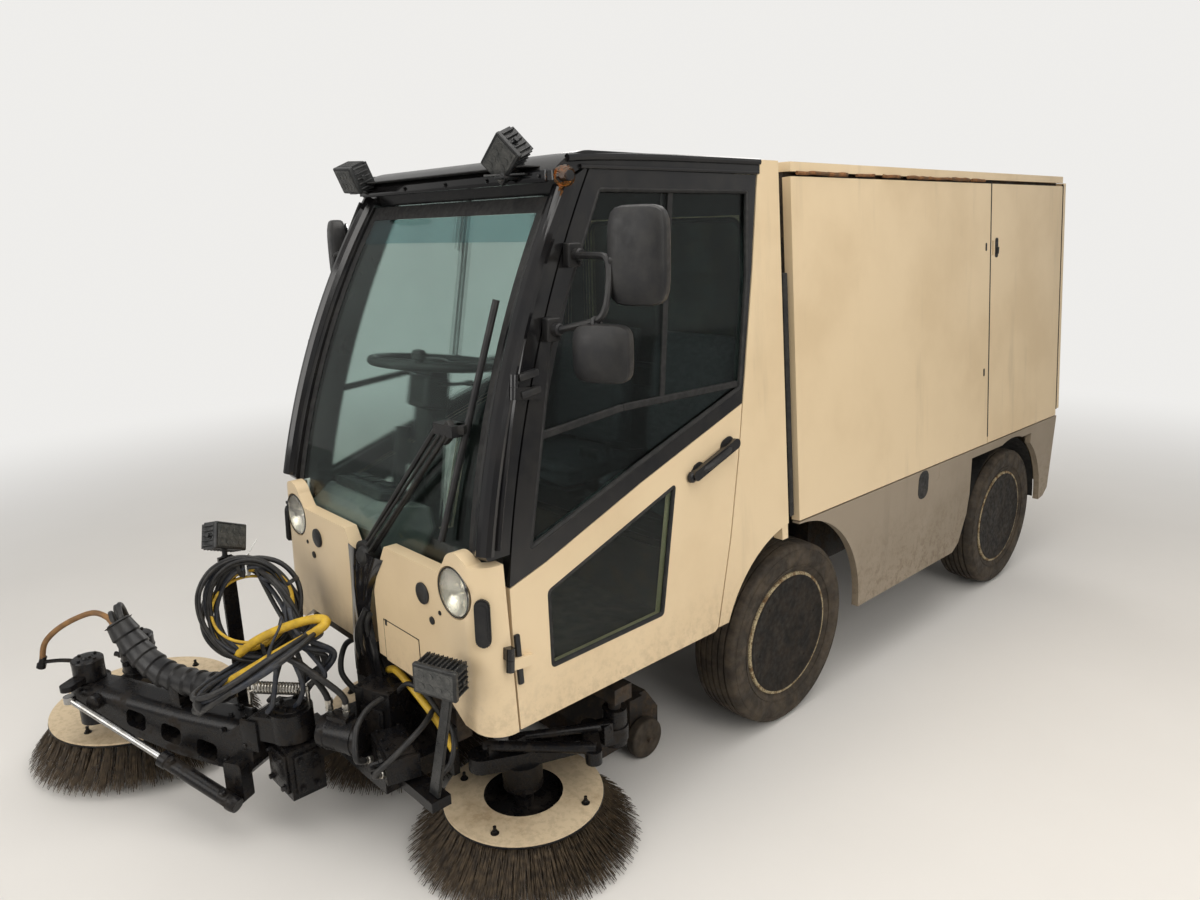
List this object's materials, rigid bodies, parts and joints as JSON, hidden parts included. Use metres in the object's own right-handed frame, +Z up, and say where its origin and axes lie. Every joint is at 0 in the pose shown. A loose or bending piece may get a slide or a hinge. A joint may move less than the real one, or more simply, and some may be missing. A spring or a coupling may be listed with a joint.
{
  "type": "compact road sweeper",
  "caption": "Compact road sweeper with a glazed cab, tipping hopper, side brushes and a front brush on a swinging boom.",
  "frame": {"origin": "centre of the flat jacking pad under the front axle beam", "axes": "+Y to the rear, +X to the vehicle's left, +Z up; the ground is at z = -0.293 m"},
  "size_m": [2.2107, 4.476, 2.0178],
  "materials": {
    "cream_paint": "semi-gloss",
    "grey_paint": "satin",
    "black_paint": "satin",
    "black_plastic": "matte",
    "bristle": "matte, worn",
    "tyre_rubber": "matte",
    "hose_rubber": "matte",
    "rod_steel": "polished",
    "window_glass": "clear",
    "lamp_plastic": "gloss",
    "seat_fabric": "woven"
  },
  "bodies": {
    "vehicle": {"axles": "black_paint", "chassis_frame": "black_paint", "engine_block": "black_paint", "cab_floor": "black_paint", "cab_hoop": "cream_paint", "cab_roof": "black_paint", "cab_pillars": "black_paint", "front_panel": "cream_paint", "front_lamps": "lamp_plastic", "cab_glass": "window_glass", "work_lamps": "black_plastic", "wiper": "black_plastic", "dashboard": "black_plastic", "seats": "seat_fabric", "skirts": "grey_paint", "rear_bumper": "grey_paint", "suction_mouth": "black_paint", "suction_duct": "hose_rubber", "front_carrier": "black_paint", "front_hydraulics": "black_paint"},
    "wheel_front_left": {"tyre_front_left": "tyre_rubber", "rim_front_left": "cream_paint"},
    "wheel_front_right": {"tyre_front_right": "tyre_rubber", "rim_front_right": "cream_paint"},
    "wheel_rear_left": {"tyre_rear_left": "tyre_rubber", "rim_rear_left": "cream_paint"},
    "wheel_rear_right": {"tyre_rear_right": "tyre_rubber", "rim_rear_right": "cream_paint"},
    "steer_left": {"knuckle_left": "black_paint"},
    "steer_right": {"knuckle_right": "black_paint"},
    "door_left": {"door_skin_left": "cream_paint", "door_frame_left": "black_paint", "door_glass_left": "window_glass", "mirrors_left": "black_plastic"},
    "door_right": {"door_skin_right": "cream_paint", "door_frame_right": "black_paint", "door_glass_right": "window_glass", "mirrors_right": "black_plastic"},
    "hopper": {"hopper_tub": "black_paint", "hopper_side_panels": "cream_paint", "hopper_roof": "cream_paint"},
    "tailgate_body": {"tailgate": "cream_paint"},
    "tip_barrel": {"ram_barrel": "black_paint"},
    "tip_rod": {"ram_rod": "rod_steel"},
    "arm_left": {"brush_arm_left": "black_paint"},
    "brush_left": {"brush_left_disc": "cream_paint", "brush_left_bristles": "bristle"},
    "roller_left": {"caster_left": "tyre_rubber"},
    "arm_right": {"brush_arm_right": "black_paint"},
    "brush_right": {"brush_right_disc": "cream_paint", "brush_right_bristles": "bristle"},
    "roller_right": {"caster_right": "tyre_rubber"},
    "boom_body": {"boom": "black_paint", "boom_lamp": "black_plastic", "boom_hoses": "hose_rubber", "head_ram_barrel": "black_paint"},
    "head_rod": {"head_ram_rod": "rod_steel"},
    "head": {"brush_head": "black_paint"},
    "brush_front": {"brush_front_disc": "cream_paint", "brush_front_bristles": "bristle"}
  },
  "joints": [
    {"name": "steering_left", "type": "hinge", "parent": "vehicle", "child": "steer_left", "pos_m": [0.36, 0, 0.045], "axis": [0, 0, 1], "range_deg": [-28, 28]},
    {"name": "spin_front_left", "type": "hinge", "parent": "steer_left", "child": "wheel_front_left", "pos_m": [0.4655, 0, 0.045], "axis": [1, 0, 0], "continuous": true},
    {"name": "spin_rear_left", "type": "hinge", "parent": "vehicle", "child": "wheel_rear_left", "pos_m": [0.4655, 1.776, 0.045], "axis": [1, 0, 0], "continuous": true},
    {"name": "steering_right", "type": "hinge", "parent": "vehicle", "child": "steer_right", "pos_m": [-0.36, 0, 0.045], "axis": [0, 0, 1], "range_deg": [-28, 28]},
    {"name": "spin_front_right", "type": "hinge", "parent": "steer_right", "child": "wheel_front_right", "pos_m": [-0.4655, 0, 0.045], "axis": [1, 0, 0], "continuous": true},
    {"name": "spin_rear_right", "type": "hinge", "parent": "vehicle", "child": "wheel_rear_right", "pos_m": [-0.4655, 1.776, 0.045], "axis": [1, 0, 0], "continuous": true},
    {"name": "open_door_left", "type": "hinge", "parent": "vehicle", "child": "door_left", "pos_m": [0.59969, -1.282, 0.307], "axis": [0.0688, -0.1274, -0.9895], "range_deg": [0, 75]},
    {"name": "open_door_right", "type": "hinge", "parent": "vehicle", "child": "door_right", "pos_m": [-0.59969, -1.282, 0.307], "axis": [0.0688, 0.1274, 0.9895], "range_deg": [0, 75]},
    {"name": "tip_hopper", "type": "hinge", "parent": "vehicle", "child": "hopper", "pos_m": [0, 2.335, 0.452], "axis": [-1, 0, 0], "range_deg": [0, 50]},
    {"name": "open_tailgate", "type": "hinge", "parent": "hopper", "child": "tailgate_body", "pos_m": [0, 2.326, 1.645], "axis": [1, 0, 0], "range_deg": [0, 70]},
    {"name": "ram_swing", "type": "hinge", "parent": "vehicle", "child": "tip_barrel", "pos_m": [0, 1.5, 0.177], "axis": [1, 0, 0], "range_deg": [0, 12]},
    {"name": "ram_slide", "type": "slide", "parent": "tip_barrel", "child": "tip_rod", "axis": [0, 0.8448, 0.5351], "range_m": [0, 0.3]},
    {"name": "swing_arm_left", "type": "hinge", "parent": "vehicle", "child": "arm_left", "pos_m": [0.47, -0.8, 0.012], "axis": [0, 0, 1], "range_deg": [0, 50]},
    {"name": "spin_brush_left", "type": "hinge", "parent": "arm_left", "child": "brush_left", "pos_m": [0.362, -1.078, -0.153], "axis": [0, 0, 1], "continuous": true},
    {"name": "spin_caster_left", "type": "hinge", "parent": "vehicle", "child": "roller_left", "pos_m": [0.34, -0.54, -0.222], "axis": [1, 0, 0], "continuous": true},
    {"name": "swing_arm_right", "type": "hinge", "parent": "vehicle", "child": "arm_right", "pos_m": [-0.47, -0.8, 0.012], "axis": [0, 0, -1], "range_deg": [0, 50]},
    {"name": "spin_brush_right", "type": "hinge", "parent": "arm_right", "child": "brush_right", "pos_m": [-0.362, -1.078, -0.153], "axis": [0, 0, 1], "continuous": true},
    {"name": "spin_caster_right", "type": "hinge", "parent": "vehicle", "child": "roller_right", "pos_m": [-0.34, -0.54, -0.222], "axis": [1, 0, 0], "continuous": true},
    {"name": "swing_boom", "type": "hinge", "parent": "vehicle", "child": "boom_body", "pos_m": [-0.14, -1.545, 0.077], "axis": [0, 0, 1], "range_deg": [0, 75]},
    {"name": "swing_head", "type": "hinge", "parent": "boom_body", "child": "head", "pos_m": [-0.835, -1.915, 0.057], "axis": [0, 0, 1], "range_deg": [-25, 25]},
    {"name": "head_slide", "type": "slide", "parent": "boom_body", "child": "head_rod", "axis": [-0.8495, -0.4065, 0.3363], "range_m": [-0.04, 0.04]},
    {"name": "spin_front_brush", "type": "hinge", "parent": "head", "child": "brush_front", "pos_m": [-1, -1.73, -0.133], "axis": [0, 0, 1], "continuous": true}
  ],
  "couplings": [
    {"joint": "steering_right", "follows": "steering_left", "ratio": 1},
    {"joint": "ram_swing", "follows": "tip_hopper", "ratio": 0.23463},
    {"joint": "ram_slide", "follows": "tip_hopper", "m_per_rad": 0.33902},
    {"joint": "head_slide", "follows": "swing_head", "m_per_rad": -0.086}
  ]
}
